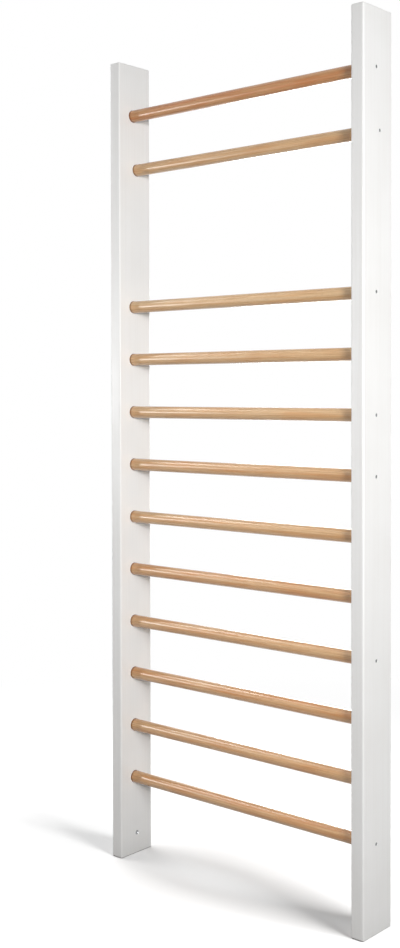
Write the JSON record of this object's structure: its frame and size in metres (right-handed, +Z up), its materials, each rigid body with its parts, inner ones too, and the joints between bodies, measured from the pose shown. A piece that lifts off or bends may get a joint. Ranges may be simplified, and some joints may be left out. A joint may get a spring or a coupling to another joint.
{
  "type": "swedish wall bars",
  "caption": "Tall wall bars: two white lacquered upright boards carry a ladder of round beech rungs in blind sockets, with a wide reach gap under a hanging pair.",
  "frame": {"origin": "on the floor, midway between the boards and at their mid-depth", "axes": "+Z up along the boards, +Y towards the wall behind, +X along the rungs to the right as seen from the front"},
  "size_m": [0.876, 0.126, 2.3],
  "materials": {
    "post_lacquer": "sprayed white satin lacquer on timber",
    "rung_beech": "turned beech, clear satin lacquer",
    "zinced_steel": "zinc plated"
  },
  "bodies": {
    "root": {"left_post": "post_lacquer", "right_post": "post_lacquer", "rung_01": "rung_beech", "rung_02": "rung_beech", "rung_03": "rung_beech", "rung_04": "rung_beech", "rung_05": "rung_beech", "rung_06": "rung_beech", "rung_07": "rung_beech", "rung_08": "rung_beech", "rung_09": "rung_beech", "rung_10": "rung_beech", "rung_11": "rung_beech", "rung_12": "rung_beech", "left_screw_01": "zinced_steel", "left_screw_02": "zinced_steel", "left_screw_03": "zinced_steel", "left_screw_05": "zinced_steel", "left_screw_06": "zinced_steel", "left_screw_09": "zinced_steel", "left_screw_12": "zinced_steel", "right_screw_01": "zinced_steel", "right_screw_02": "zinced_steel", "right_screw_03": "zinced_steel", "right_screw_05": "zinced_steel", "right_screw_06": "zinced_steel", "right_screw_09": "zinced_steel", "right_screw_12": "zinced_steel", "left_insert": "zinced_steel", "right_insert": "zinced_steel"}
  },
  "joints": []
}
